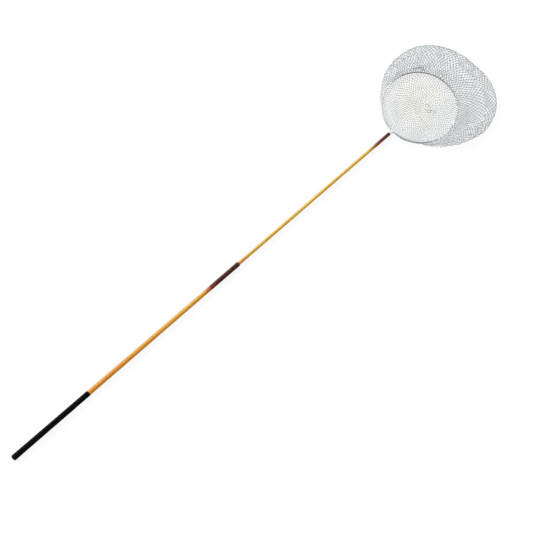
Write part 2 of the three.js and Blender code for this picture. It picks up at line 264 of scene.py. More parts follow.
def add_node(tree, kind, inputs=None, **settings):
    """Adds a node. An input given as a socket is linked, and any other is set as a value."""
    node = tree.nodes.new(kind)
    for name, value in settings.items():
        setattr(node, name, value)
    for key, value in (inputs or {}).items():
        if isinstance(key, int):
            socket = node.inputs[key]
        else:
            socket = next(one for one in node.inputs if one.name == key and one.enabled)
        if isinstance(value, bpy.types.NodeSocket):
            tree.links.new(value, socket)
        else:
            socket.default_value = value
    return node


def result(node):
    """The first output that the node's settings leave in use."""
    return next(socket for socket in node.outputs if socket.enabled)


def calculate(tree, operation, first, second=0.0):
    return result(add_node(tree, "ShaderNodeMath", {0: first, 1: second}, operation=operation))


def calculate_vector(tree, operation, first, second=(0, 0, 0)):
    inputs = {0: first, 1: second}
    return result(add_node(tree, "ShaderNodeVectorMath", inputs, operation=operation))


def split_up(tree, vector):
    return add_node(tree, "ShaderNodeSeparateXYZ", {0: vector}).outputs


def mix(tree, factor, first, second, kind="FLOAT"):
    inputs = {"Factor": factor, "A": first, "B": second}
    return result(add_node(tree, "ShaderNodeMix", inputs, data_type=kind))


def seen_rays(tree):
    """1 for rays from the camera, from a gloss or through glass, and 0 for rays of light."""
    path = add_node(tree, "ShaderNodeLightPath").outputs
    mirrored = calculate(tree, "MAXIMUM", path["Is Glossy Ray"], path["Is Transmission Ray"])
    return calculate(tree, "MAXIMUM", path["Is Camera Ray"], mirrored)


def make_floor():
    """A pale floor. It shows nearly white and keeps a part of the shadow on it."""
    half = FLOOR_SIZE / 2
    centre = (cad_low + cad_high) / 2
    corners = [(-half, -half), (half, -half), (half, half), (-half, half)]
    mesh = bpy.data.meshes.new("studio_floor")
    mesh.from_pydata([(centre.x + x, centre.y + y, FLOOR_Z) for x, y in corners], [], [(0, 1, 2, 3)])
    floor = add_object("studio_floor", mesh)
    material = bpy.data.materials.new("pale studio floor")
    material.use_nodes = True
    tree = material.node_tree
    shader = tree.nodes["Principled BSDF"]
    shader.inputs["Base Color"].default_value = (FLOOR_TONE, FLOOR_TONE, FLOOR_TONE, 1)
    shader.inputs["Roughness"].default_value = FLOOR_ROUGHNESS
    shader.inputs["Specular IOR Level"].default_value = 0
    shown = add_node(tree, "ShaderNodeMixShader", {
        0: calculate(tree, "MULTIPLY", seen_rays(tree), FLOOR_WHITE),
        1: shader.outputs["BSDF"],
        2: add_node(tree, "ShaderNodeEmission", {"Strength": 1.0}).outputs["Emission"],
    })
    tree.links.new(result(shown), tree.nodes["Material Output"].inputs["Surface"])
    mesh.materials.append(material)


def make_sun(name, azimuth, elevation, strength, spread):
    data = bpy.data.lights.new(name, "SUN")
    data.energy = strength
    data.angle = math.radians(spread)
    toward = direction(math.radians(azimuth), math.radians(elevation))
    lamp = add_object(name, data)
    lamp.matrix_world = toward.to_track_quat("Z", "Y").to_matrix().to_4x4()


def make_world():
    """Even grey light. Rays that see the surroundings themselves find them white."""
    world = bpy.data.worlds.new("studio")
    bpy.context.scene.world = world
    world.use_nodes = True
    tree = world.node_tree
    background = tree.nodes["Background"]
    background.inputs["Color"].default_value = (1, 1, 1, 1)
    tree.links.new(mix(tree, seen_rays(tree), WORLD_LEVEL, 1.0), background.inputs["Strength"])


bpy.context.scene.view_settings.view_transform = "Standard"
make_floor()
make_world()
for light in LIGHTS:
    make_sun(*light)


# Effects that several finishes share

def new_group(name, kind, inputs, outputs):
    """A node group whose named sockets each have a kind. Returns its tree, the values that it is
    given and the sockets that its outcome goes into."""
    tree = bpy.data.node_groups.new(name, kind)
    sockets = tree.interface
    for socket, (what, value) in inputs.items():
        made = sockets.new_socket(socket, in_out="INPUT", socket_type="NodeSocket" + what)
        if value is not None:
            made.default_value = value
    for socket, what in outputs.items():
        sockets.new_socket(socket, in_out="OUTPUT", socket_type="NodeSocket" + what)
    return tree, tree.nodes.new("NodeGroupInput").outputs, tree.nodes.new("NodeGroupOutput").inputs


def stretched_noise(tree, vector, scale, detail=3.0):
    """Noise with a scale per metre along each axis. A low one along X makes long streaks."""
    return result(add_node(tree, "ShaderNodeTexNoise", {
        "Vector": calculate_vector(tree, "MULTIPLY", vector, scale),
        "Scale": 1.0,
        "Detail": detail,
        "Roughness": 0.55,
    }))


def spread_out(tree, value, low, high):
    """Stretches a value softly, so that low becomes 0 and high becomes 1."""
    return result(add_node(tree, "ShaderNodeMapRange", {
        "Value": value,
        "From Min": low,
        "From Max": high,
    }, interpolation_type="SMOOTHSTEP"))


def make_fibre_streaks():
    """Fibres under the lacquer: long streaks, and the edges of the tape once wound over them."""
    tree, given, made = new_group("fibre streaks", "ShaderNodeTree", {
        "Vector": ("Vector", None),
        "Tape Pitch": ("Float", 0.004),
    }, {"Streaks": "Float", "Cloud": "Float", "Height": "Float"})
    vector = given["Vector"]
    long_streaks = stretched_noise(tree, vector, (9, 420, 420))
    fine_streaks = stretched_noise(tree, vector, (40, 1900, 1900))
    streaks = mix(tree, 0.4, long_streaks, fine_streaks)
    cloud = stretched_noise(tree, vector, (26, 60, 60))
    parts = split_up(tree, vector)
    turn = calculate(tree, "DIVIDE", calculate(tree, "ARCTAN2", parts["Y"], parts["Z"]), math.tau)
    along = calculate(tree, "DIVIDE", parts["X"], given["Tape Pitch"])
    edge = calculate(tree, "PINGPONG", calculate(tree, "ADD", along, turn), 0.5)
    tree.links.new(spread_out(tree, streaks, 0.36, 0.64), made["Streaks"])
    tree.links.new(spread_out(tree, cloud, 0.32, 0.68), made["Cloud"])
    tree.links.new(mix(tree, 0.35, spread_out(tree, edge, 0.0, 0.12), streaks), made["Height"])
    return tree


def make_thread_turns():
    """Close turns of thread round the pole, drowned in lacquer."""
    tree, given, made = new_group("thread turns", "ShaderNodeTree", {
        "Vector": ("Vector", None),
        "Pitch": ("Float", 0.0004),
    }, {"Turns": "Float", "Flecks": "Float"})
    vector = given["Vector"]
    wander = calculate(tree, "MULTIPLY", stretched_noise(tree, vector, (160, 260, 260), 1.0), 1.6)
    along = calculate(tree, "DIVIDE", split_up(tree, vector)["X"], given["Pitch"])
    turns = calculate(tree, "PINGPONG", calculate(tree, "ADD", along, wander), 0.5)
    flecks = stretched_noise(tree, vector, (1400, 420, 420), 2.0)
    tree.links.new(spread_out(tree, turns, 0.0, 0.5), made["Turns"])
    tree.links.new(spread_out(tree, flecks, 0.35, 0.65), made["Flecks"])
    return tree


def make_wear():
    """Uneven polish from handling, with a scatter of fine scuffs along the piece."""
    tree, given, made = new_group("handling wear", "ShaderNodeTree", {
        "Vector": ("Vector", None),
        "Smooth": ("Float", 0.2),
        "Dull": ("Float", 0.4),
    }, {"Roughness": "Float", "Scuffs": "Float"})
    vector = given["Vector"]
    patches = spread_out(tree, stretched_noise(tree, vector, (70, 170, 170)), 0.35, 0.7)
    scuffs = spread_out(tree, stretched_noise(tree, vector, (150, 2600, 2600), 2.0), 0.63, 0.74)
    worn = calculate(tree, "MAXIMUM", patches, scuffs)
    tree.links.new(mix(tree, worn, given["Smooth"], given["Dull"]), made["Roughness"])
    tree.links.new(scuffs, made["Scuffs"])
    return tree


def make_fine_grain():
    """Fine pebbled grain, and a slow mottle of the piece's tone."""
    tree, given, made = new_group("fine grain", "ShaderNodeTree", {
        "Vector": ("Vector", None),
        "Size": ("Float", 0.0005),
    }, {"Grain": "Float", "Mottle": "Float"})
    grain = add_node(tree, "ShaderNodeTexNoise", {
        "Vector": given["Vector"],
        "Scale": calculate(tree, "DIVIDE", 1.0, given["Size"]),
        "Detail": 2.0,
    })
    mottle = stretched_noise(tree, given["Vector"], (55, 130, 130))
    tree.links.new(result(grain), made["Grain"])
    tree.links.new(spread_out(tree, mottle, 0.35, 0.65), made["Mottle"])
    return tree


fibre_streaks = make_fibre_streaks()
thread_turns = make_thread_turns()
handling_wear = make_wear()
fine_grain = make_fine_grain()


# Finishes

def srgb(*channels):
    """A display colour, 0 to 255 a channel, as the linear colour that the shaders take."""
    linear = []
    for channel in channels:
        share = channel / 255
        linear.append(share / 12.92 if share <= 0.04045 else ((share + 0.055) / 1.055) ** 2.4)
    return (*linear, 1)


class Finish:
    """A material under way: its tree, its shader and the piece's own coordinates."""

    def __init__(self, name):
        self.material = bpy.data.materials.new(name)
        self.material.use_nodes = True
        self.tree = self.material.node_tree
        self.shader = self.tree.nodes["Principled BSDF"]
        self.place = add_node(self.tree, "ShaderNodeTexCoord").outputs["Object"]

    def effect(self, group, **inputs):
        """Places a shared effect and returns its outputs."""
        inputs = {"Vector": self.place, **inputs}
        return add_node(self.tree, "ShaderNodeGroup", inputs, node_tree=group).outputs

    def blend(self, factor, first, second):
        return mix(self.tree, factor, first, second, "RGBA")

    def times(self, value, factor):
        return calculate(self.tree, "MULTIPLY", value, factor)

    def noise(self, scale, low, high):
        return spread_out(self.tree, stretched_noise(self.tree, self.place, scale), low, high)

    def from_hoop(self):
        """Where the surface lies from the hoop's centre."""
        return calculate_vector(self.tree, "SUBTRACT", self.place, HOOP_CENTRE)

    def along_pole(self, start, end):
        """0 at the start and 1 at the end of a stretch of the pole, taken either way."""
        return spread_out(self.tree, split_up(self.tree, self.place)["X"], start, end)

    def attribute(self, name, output):
        return add_node(self.tree, "ShaderNodeAttribute", attribute_name=name).outputs[output]

    def set(self, **inputs):
        """Sets or links the shader's inputs."""
        for key, value in inputs.items():
            socket = self.shader.inputs[key.replace("_", " ")]
            if isinstance(value, bpy.types.NodeSocket):
                self.tree.links.new(value, socket)
            else:
                socket.default_value = value

    def bump(self, height, distance, strength=0.5):
        bump = add_node(self.tree, "ShaderNodeBump", {
            "Height": height,
            "Distance": distance,
            "Strength": strength,
        })
        self.tree.links.new(result(bump), self.shader.inputs["Normal"])


CLEAR_LACQUER = {"Specular_IOR_Level": 0.14, "Coat_Weight": 0.14, "Coat_Roughness": 0.2}
DARK_LACQUER = {"Specular_IOR_Level": 0.04, "Coat_Weight": 0.09, "Coat_Roughness": 0.16}


def lacquered_tube(name, pale, deep, shifts):
    """Clear lacquer over coloured fibre. Each shift is a colour that the pole turns to, its
    share, and the stretch over which it does."""
    finish = Finish(name)
    fibres = finish.effect(fibre_streaks)
    wear = finish.effect(handling_wear, Smooth=0.26, Dull=0.38)
    colour = finish.blend(fibres["Streaks"], deep, pale)
    colour = finish.blend(finish.times(fibres["Cloud"], 0.35), colour, deep)
    for shift, share, stretch in shifts:
        colour = finish.blend(finish.times(finish.along_pole(*stretch), share), colour, shift)
    finish.set(Base_Color=colour, Roughness=wear["Roughness"], **CLEAR_LACQUER)
    finish.bump(fibres["Height"], distance=0.00002)
    return finish.material


def lacquered_wrap(name, start_x, end_x, colours):
    """Thread turns under coloured lacquer, through a row of colours along the wrap."""
    finish = Finish(name)
    turns = finish.effect(thread_turns)
    wear = finish.effect(handling_wear, Smooth=0.26, Dull=0.38)
    step = (end_x - start_x) / (len(colours) - 1)
    colour = colours[0]
    for number, deeper in enumerate(colours[1:]):
        near = start_x + number * step
        colour = finish.blend(finish.along_pole(near, near + step), colour, deeper)
    colour = finish.blend(finish.times(turns["Flecks"], 0.25), colour, srgb(104, 52, 38))
    finish.set(Base_Color=colour, Roughness=wear["Roughness"], **DARK_LACQUER)
    finish.bump(turns["Turns"], distance=0.00003)
    return finish.material


def shrunk_film():
    finish = Finish("black shrink film")
    grain = finish.effect(fine_grain, Size=0.0006)
    wear = finish.effect(handling_wear, Smooth=0.38, Dull=0.55)
    colour = finish.blend(grain["Mottle"], srgb(3, 3, 4), srgb(8, 8, 9))
    finish.set(Base_Color=colour, Roughness=wear["Roughness"], Specular_IOR_Level=0.03)
    finish.bump(grain["Grain"], distance=0.00006)
    return finish.material


def moulded_rubber():
    finish = Finish("black cap rubber")
    grain = finish.effect(fine_grain, Size=0.0009)
    wear = finish.effect(handling_wear, Smooth=0.6, Dull=0.8)
    colour = finish.blend(grain["Mottle"], srgb(9, 9, 10), srgb(18, 18, 18))
    colour = finish.blend(finish.times(wear["Scuffs"], 0.3), colour, srgb(48, 47, 45))
    finish.set(Base_Color=colour, Roughness=wear["Roughness"], Specular_IOR_Level=0.05)
    finish.bump(grain["Grain"], distance=0.0001, strength=0.6)
    return finish.material


def drawn_steel():
    """Bright wire with painted reflection: painted dark reflection along two facing stretches of the
    hoop, and painted highlight between them.
    """
    finish = Finish("drawn steel wire")
    tree = finish.tree
    grain = finish.effect(fine_grain, Size=0.0007)
    wear = finish.effect(handling_wear, Smooth=0.26, Dull=0.42)
    parts = split_up(tree, finish.from_hoop())
    angle = calculate(tree, "ARCTAN2", parts["Y"], parts["X"])
    # Painted reflection: the colour is darker along two facing stretches of the hoop and paler between
    # them, in place of reflected lamp light
    from_painted_dark = calculate(tree, "MULTIPLY", calculate(tree, "SUBTRACT", angle, WIRE_PAINTED_DARK_ANGLE), 2)
    painted_dark_reflection = spread_out(tree, calculate(tree, "COSINE", from_painted_dark), -0.5, 0.9)
    colour = finish.blend(painted_dark_reflection, srgb(196, 199, 201), srgb(122, 123, 126))
    colour = finish.blend(finish.times(grain["Mottle"], 0.25), colour, srgb(148, 149, 150))
    finish.set(Base_Color=colour, Roughness=wear["Roughness"], Metallic=1.0)
    finish.bump(grain["Grain"], distance=0.00002)
    return finish.material


def cut_wood():
    finish = Finish("dowel wood")
    grain = finish.noise((60, 1500, 1500), 0.38, 0.62)
    finish.set(Base_Color=finish.blend(grain, srgb(150, 118, 74), srgb(196, 165, 116)), Roughness=0.75)
    finish.bump(grain, distance=0.0001, strength=0.6)
    return finish.material


# Yellowed nylon in the middle of the bag, and painted light that makes the netting paler near
# the neck. Each pair says where a tone sets in and where it is full, by distance or by the
# cosine of the angle from +X
NYLON_AGED = srgb(176, 182, 138)
AGED_SHIFT = Vector((0.011, 0.011, 0))
AGED_REACH = (0.086, 0.034)
AGED_SHARE = 0.8
NYLON_PAINTED_LIGHT = srgb(222, 226, 228)
PAINTED_LIGHT_REACH = (0.050, 0.090)
PAINTED_LIGHT_COSINES = (0.45, -0.55)
PAINTED_LIGHT_SHARE = 0.75

# Radians that the strands of the twine wind through along a metre
TWINE_LAY = 5200


def nylon_twine(name, pale, deep):
    """Twisted nylon. Each bar or knot has its own tone, the lay winds along the twine, the
    middle of the bag has yellowed in patches, and painted light makes the netting near the neck
    paler."""
    finish = Finish(name)
    tree = finish.tree
    cloud = finish.noise((170, 170, 170), 0.35, 0.65)
    tone = mix(tree, 0.6, cloud, finish.attribute("own_tone", "Fac"))
    from_hoop = finish.from_hoop()
    radius = calculate_vector(tree, "LENGTH", from_hoop)
    from_aged = calculate_vector(tree, "DISTANCE", finish.place, HOOP_CENTRE + AGED_SHIFT)
    patches = finish.noise((22, 22, 22), 0.1, 0.55)
    aged = finish.times(spread_out(tree, from_aged, *AGED_REACH), patches)
    cosine = calculate(tree, "DIVIDE", split_up(tree, from_hoop)["X"], radius)
    # Painted light: the netting near the neck is made paler, in place of light on its shaded side
    toward_neck = spread_out(tree, cosine, *PAINTED_LIGHT_COSINES)
    painted_light_mask = finish.times(toward_neck, spread_out(tree, radius, *PAINTED_LIGHT_REACH))
    colour = finish.blend(tone, deep, pale)
    colour = finish.blend(finish.times(painted_light_mask, PAINTED_LIGHT_SHARE), colour, NYLON_PAINTED_LIGHT)
    colour = finish.blend(finish.times(aged, AGED_SHARE), colour, NYLON_AGED)
    finish.set(Base_Color=colour, Roughness=0.42)
    turn = finish.times(finish.attribute("along_twine", "Fac"), TWINE_LAY)
    side = split_up(tree, finish.attribute("round_twine", "Vector"))
    lay = calculate(
        tree, "ADD",
        finish.times(calculate(tree, "SINE", turn), side["X"]),
        finish.times(calculate(tree, "COSINE", turn), side["Y"]))
    finish.bump(lay, distance=0.00004)
    return finish.material


AMBER = srgb(229, 172, 62)
DEEP_AMBER = srgb(209, 144, 40)
DARK_AMBER = srgb(213, 129, 22)
GOLD = srgb(226, 182, 70)
DEEP_GOLD = srgb(208, 163, 52)
TAN = srgb(207, 145, 60)
LIGHT_BROWN = srgb(188, 122, 62)
ORANGE_BROWN = srgb(188, 104, 42)
RED = srgb(136, 50, 42)
MAROON = srgb(66, 23, 18)
BROWN = srgb(62, 27, 12)
DARK_BROWN = srgb(66, 29, 9)
MOUTH_WRAP_COLOURS = (RED, MAROON, MAROON, BROWN, DARK_BROWN)
TIP_WRAP_COLOURS = (
    srgb(160, 104, 56),
    srgb(134, 68, 54),
    srgb(108, 52, 50),
    srgb(84, 50, 44),
    srgb(58, 42, 32),
)

# Stretches of the pole over which its lacquer turns to another colour
DARKER_TO_GRIP = (0.60, 0.20)
ORANGE_TO_MOUTH_WRAP = (MOUTH_WRAP_X - 0.024, MOUTH_WRAP_X - 0.006)
RED_TO_MOUTH_WRAP = (MOUTH_WRAP_X - 0.010, MOUTH_WRAP_X + 0.004)
TAN_TO_MOUTH = (MOUTH_X + 0.045, MOUTH_X + 0.006)
BROWN_TO_TIP_WRAP = (TIP_WRAP_X - 0.022, TIP_WRAP_X - 0.002)

FINISHES = {
    "butt_tube": lacquered_tube("amber lacquer", AMBER, DEEP_AMBER, [
        (DARK_AMBER, 0.6, DARKER_TO_GRIP),
        (ORANGE_BROWN, 1, ORANGE_TO_MOUTH_WRAP),
        (RED, 1, RED_TO_MOUTH_WRAP),
    ]),
    "mouth_wrap": lacquered_wrap("mouth wrap lacquer", MOUTH_WRAP_X, MOUTH_X, MOUTH_WRAP_COLOURS),
    "tip_tube": lacquered_tube("gold lacquer", GOLD, DEEP_GOLD, [
        (TAN, 1, TAN_TO_MOUTH),
        (LIGHT_BROWN, 1, BROWN_TO_TIP_WRAP),
    ]),
    "tip_wrap": lacquered_wrap("tip wrap lacquer", TIP_WRAP_X, TIP_X, TIP_WRAP_COLOURS),
    "grip_sleeve": shrunk_film(),
    "butt_cap": moulded_rubber(),
    "neck_dowel": cut_wood(),
    "hoop_wire": drawn_steel(),
}
net_nylon = nylon_twine("net nylon", srgb(188, 197, 200), srgb(144, 154, 159))
tie_nylon = nylon_twine("tie cord nylon", srgb(226, 229, 229), srgb(186, 192, 194))


# Facets that meet at less than this angle belong to one surface
EDGE_ANGLE = math.radians(32)
JOIN_DISTANCE = 0.000002


def make_smoothing():
    """Joins the facets of a solid and shades them as one surface, up to its real edges."""
    tree, given, made = new_group("smooth to edges", "GeometryNodeTree", {
        "Solid": ("Geometry", None),
        "Edge Angle": ("Float", EDGE_ANGLE),
    }, {"Solid": "Geometry"})
    tree.is_modifier = True
    joined = add_node(tree, "GeometryNodeMergeByDistance", {
        "Geometry": given["Solid"],
        "Distance": JOIN_DISTANCE,
    })
    angle = add_node(tree, "GeometryNodeInputMeshEdgeAngle").outputs["Unsigned Angle"]
    sharp = add_node(tree, "FunctionNodeCompare", {"A": angle, "B": given["Edge Angle"]},
                     data_type="FLOAT", operation="GREATER_THAN")
    smooth = add_node(tree, "GeometryNodeSetShadeSmooth", {"Geometry": result(joined)})
    shaded = add_node(tree, "GeometryNodeSetMeshNormal", {
        "Mesh": result(smooth),
        "Remove Custom": True,
        "Edge Sharpness": result(sharp),
        "Face Sharpness": False,
    }, mode="SHARPNESS")
    tree.links.new(result(shaded), made["Solid"])
    return tree


smoothing = make_smoothing()
for node, material in FINISHES.items():
    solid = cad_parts[node]
    solid.data.materials.clear()
    solid.data.materials.append(material)
    solid.modifiers.new("smooth to edges", "NODES").node_group = smoothing


# Shape of the bag

def bag_reach(angle):
    """Distance from the hoop's centre to the netting's outline. The solid's outline, which is
    drawn round the bag's own centre, spreads by the slack and is drawn in beside the neck."""
    toward = Vector((math.cos(angle), math.sin(angle)))
    along = toward.dot(BAG_SHIFT)
    across = toward.x * BAG_SHIFT.y - toward.y * BAG_SHIFT.x
    reach = BAG_RADIUS
    for _ in range(OUTLINE_PASSES):
        from_bag = toward * reach - BAG_SHIFT
        turn = math.atan2(from_bag.y, from_bag.x)
        outline = (BAG_RADIUS + BAG_OVAL_SWELL * math.cos(2 * (turn - BAG_OVAL_TURN))
                   + BAG_CORNER_SWELL * math.cos(3 * (turn - BAG_CORNER_TURN)))
        reach = along + math.sqrt(outline ** 2 - across ** 2)
    drawn_in = sum(amount * max(math.cos(angle - middle), 0) ** DRAWN_IN_SHARPNESS
                   for middle, amount in BAG_DRAWN_IN)
    return reach + BAG_SLACK * max(reach - HOOP_RADIUS, 0) - drawn_in


def wall_line(angle):
    """The wall's netting in the upright plane at one angle, from the top of the wire to where
    it touches the floor, as rows of distance from the hoop's axis and height."""
    hook_radius = WIRE_RADIUS + RIM_GAP + BAG_WALL / 2
    rest_z = FLOOR_Z + BAG_WALL / 2
    spread = max(bag_reach(angle) - BAG_WALL / 2 - HOOP_RADIUS - hook_radius, 0)
    share = min(spread / BAG_PUFF_REACH, 1)
    puff = share * share * (3 - 2 * share)
    turns = np.linspace(math.pi / 2, HOOK_LEAVE_ANGLE * puff, HOOK_POINTS)
    hook = np.stack([HOOP_RADIUS + hook_radius * np.cos(turns), hook_radius * np.sin(turns)], 1)
    leave = hook[-1]
    rise_z = FLOOR_Z * WALL_RISE_FLAT * (1 - puff) + WALL_RISE_PUFFED * BAG_PUFF_HEIGHT * puff
    controls = np.array([
        leave,
        (leave[0] + WALL_RISE_OUT * spread, rise_z),
        (leave[0] + WALL_FALL_OUT * spread + 2 * BAG_WALL, rest_z),
        (leave[0] + WALL_FOOT_OUT * spread - BAG_TOE_RADIUS, rest_z),
    ])
    part = np.linspace(0, 1, WALL_POINTS)[1:, None]
    rest = 1 - part
    weights = np.hstack([rest ** 3, 3 * part * rest ** 2, 3 * part * part * rest, part ** 3])
    return np.vstack([hook, weights @ controls])


def lengths_along(points):
    """Distance of each point from the first, along the line."""
    steps = np.linalg.norm(np.diff(points, axis=0), axis=1)
    return np.concatenate([[0], np.cumsum(steps)])


def on_hoop(radius, angle, height):
    """A point given by its distance from the hoop's axis, its angle and its height."""
    return np.array([
        HOOP_CENTRE.x + radius * math.cos(angle),
        HOOP_CENTRE.y + radius * math.sin(angle),
        height,
    ])


# Knots and bars of the netting

class Netting:
    """Knots, the bars between them, and the outlines that the rows follow. Columns of meshes
    run down the wall at even angles, and a row's knots lie at every other half step."""

    def __init__(self):
        self.knots = []
        self.on_wall = []
        self.bars = set()
        steps = 2 * MESH_COUNT
        self.angles = [math.tau * step / steps - math.pi for step in range(steps)]
        self.lines = [wall_line(angle) for angle in self.angles]
        self.lengths = [lengths_along(line) for line in self.lines]
        self.feet = np.array([on_hoop(line[-1][0], angle, 0)[:2]
                              for line, angle in zip(self.lines, self.angles)])

    def knot(self, point, on_wall):
        self.knots.append(point)
        self.on_wall.append(on_wall)
        return len(self.knots) - 1

    def bar(self, one, other):
        self.bars.add((min(one, other), max(one, other)))


def wall_rows():
    """Distances of the wall's rows from the top of the wire. The wider a row, the more its
    meshes are pulled open and the less they hang down."""
    rows = [FIRST_ROW]
    while rows[-1] < LONGEST_WALL:
        half_mesh = math.pi * (HOOP_RADIUS + ROW_WIDENING * rows[-1]) / MESH_COUNT
        step = math.sqrt(max(BAR_LENGTH ** 2 - half_mesh ** 2, LEAST_ROW_STEP ** 2))
        rows.append(rows[-1] + ROW_STRETCH * step)
    return rows


def wall_netting(net, floor_outer):
    """Knots from the rim out and down to the floor's edge, where the last bars of each column
    end on the nearest knots. Returns the first row's knots by column."""
    edge = np.array([net.knots[knot][:2] for knot in floor_outer])
    opening = math.asin(NECK_OPENING / 2 / HOOP_RADIUS)
    made = {}
    for row, along in enumerate(wall_rows()):
        for column in range(MESH_COUNT):
            step = 2 * column + row % 2
            at_neck = math.pi - abs(net.angles[step]) < opening
            if along > net.lengths[step][-1] - WALL_CLEAR_END or (at_neck and row == 0):
                continue
            radius = np.interp(along, net.lengths[step], net.lines[step][:, 0])
            height = np.interp(along, net.lengths[step], net.lines[step][:, 1])
            made[row, column] = net.knot(on_hoop(radius, net.angles[step], height), True)
    for (row, column), knot in made.items():
        for side in (0, -1):
            next_column = (column + side + row % 2) % MESH_COUNT
            below = made.get((row + 1, next_column))
            if below is None:
                foot = net.feet[(2 * next_column + (row + 1) % 2) % len(net.feet)]
                below = floor_outer[int(np.argmin(np.linalg.norm(edge - foot, axis=1)))]
            net.bar(knot, below)
    return {column: made[0, column] for column in range(MESH_COUNT) if (0, column) in made}


def narrowed_row(places, wanted, rng):
    """The next row in: a knot under each gap of this row, less the narrowest gaps, which share
    a knot with the gap before. Places are turns round the tie. Returns the new places, and for
    each knot the numbers of the knots that it hangs from."""
    count = len(places)
    widths = np.diff(np.append(places, places[0] + 1))
    order = np.argsort(widths * rng.uniform(1 - GAP_CHANCE, 1 + GAP_CHANCE, count))
    shared = set()
    for gap in order:
        if len(shared) == count - wanted:
            break
        if (gap - 1) % count not in shared and (gap + 1) % count not in shared and gap != 0:
            shared.add(int(gap))
    parents = []
    for gap in range(count):
        if gap in shared:
            parents[-1].append((gap + 1) % count)
        else:
            parents.append([gap, (gap + 1) % count])
    middles = []
    for group in parents:
        first, last = places[group[0]], places[group[-1]]
        middles.append((first + last + (last < first)) / 2)
    middles = np.array(middles)
    for _ in range(EVENING_PASSES):
        before = np.concatenate([[middles[-1] - 1], middles[:-1]])
        after = np.concatenate([middles[1:], [middles[0] + 1]])
        middles = middles + EVENING_SHARE * ((before + after) / 2 - middles)
    return middles, parents


def floor_netting(net, rng):
    """Rows of knots from the bag's edge in to the tie, on the floor. A row keeps at least two in
    three of the knots of the row before. Returns the outer row."""
    tie = np.array(TIE_CENTRE[:2])
    from_tie = net.feet - tie
    turns = np.unwrap(np.arctan2(from_tie[:, 1], from_tie[:, 0]))
    even = np.linspace(turns[0], turns[0] + math.tau, FLOOR_DIRECTIONS)
    reach = np.interp(even, turns, np.linalg.norm(from_tie, axis=1), period=math.tau)
    mean_reach = reach.mean()
    row_count = round((mean_reach - TIE_TURN_RADIUS) / FLOOR_ROW_STEP)
    places = (turns[::2] - turns[0]) / math.tau
    parents = []
    above = []
    outer = []
    for share in np.linspace(1, TIE_TURN_RADIUS / mean_reach, row_count):
        radius = share * (mean_reach * (1 - share ** 2) + reach * share ** 2)
        if above:
            wanted = round(math.tau * radius.mean() / FLOOR_MESH_WIDTH)
            wanted = max(min(wanted, len(places)), len(places) * 2 // 3, TIE_MESH_COUNT)
            places, parents = narrowed_row(places, wanted, rng)
        angles = turns[0] + (places % 1) * math.tau
        radii = np.interp(angles, even, radius)
        knots = []
        for angle, distance in zip(angles, radii):
            x, y = tie + distance * np.array([math.cos(angle), math.sin(angle)])
            knots.append(net.knot(np.array([x, y, FLOOR_Z]), False))
        for knot, group in zip(knots, parents):
            for parent in group:
                net.bar(above[parent], knot)
        outer = outer or knots
        above = knots
    return outer


def smooth_drift(points, rng, wavelength, amount):
    """How far a slow, seeded wander, made of a few plane waves, moves each point."""
    heading = rng.uniform(0, math.tau, DRIFT_WAVES)
    pace = math.tau / (wavelength * rng.uniform(*DRIFT_WAVE_SPREAD, DRIFT_WAVES))
    waves = np.stack([np.cos(heading), np.sin(heading)], 1) * pace[:, None]
    phase = rng.uniform(0, math.tau, DRIFT_WAVES)
    push = rng.normal(0, 1, (DRIFT_WAVES, 3)) * amount / math.sqrt(DRIFT_WAVES / 2)
    return np.sin(points[:, :2] @ waves.T + phase) @ push


def tucked(points):
    """How far the tucks draw each point of the wall toward their own lines."""
    drawn = np.zeros_like(points)
    for angle, from_wire, heading, reach, share, _ in TUCKS:
        away = points[:, :2] - on_hoop(HOOP_RADIUS + from_wire, angle, 0)[:2]
        across = np.array([-math.sin(heading), math.cos(heading)])
        near = np.exp(-(np.linalg.norm(away, axis=1) / reach) ** 2)
        drawn[:, :2] -= (share * near * (away @ across))[:, None] * across
    return drawn


def settle(net, rng):
    """Tucks the wall, lets the netting wander from its even layout and keeps it off the floor."""
    points = np.array(net.knots)
    net.on_wall = np.array(net.on_wall)
    on_wall = net.on_wall[:, None]
    from_hoop = np.linalg.norm(points[:, :2] - np.array(HOOP_CENTRE[:2]), axis=1) - HOOP_RADIUS
    from_tie = np.linalg.norm(points[:, :2] - np.array(TIE_CENTRE[:2]), axis=1)
    loose_wall = np.clip(from_hoop / HELD_BY_WIRE, 0, 1)
    loose_floor = np.clip(from_tie / HELD_BY_TIE, LEAST_LOOSE, 1)
    loose = np.where(net.on_wall, loose_wall, loose_floor)
    off_wire = np.clip(from_hoop / TUCK_HELD_BY_WIRE, 0, 1)[:, None]
    points += np.where(on_wall, tucked(points) * off_wire, 0)
    moved = rng.normal(0, KNOT_SCATTER, points.shape)
    slow = np.random.default_rng(DRIFT_SEED)
    for wavelength, amount in DRIFTS:
        wall_drift = smooth_drift(points, slow, wavelength, amount)
        floor_drift = smooth_drift(points, slow, wavelength, amount) * (1, 1, FLOOR_DRIFT_UP)
        moved += np.where(on_wall, wall_drift, floor_drift)
    points += moved * loose[:, None]
    above_floor = FLOOR_Z + np.abs(points[:, 2] - FLOOR_Z)
    heights = np.where(net.on_wall, points[:, 2], above_floor)
    points[:, 2] = np.maximum(heights, FLOOR_Z + KNOT_CLEARANCE)
    net.knots = points


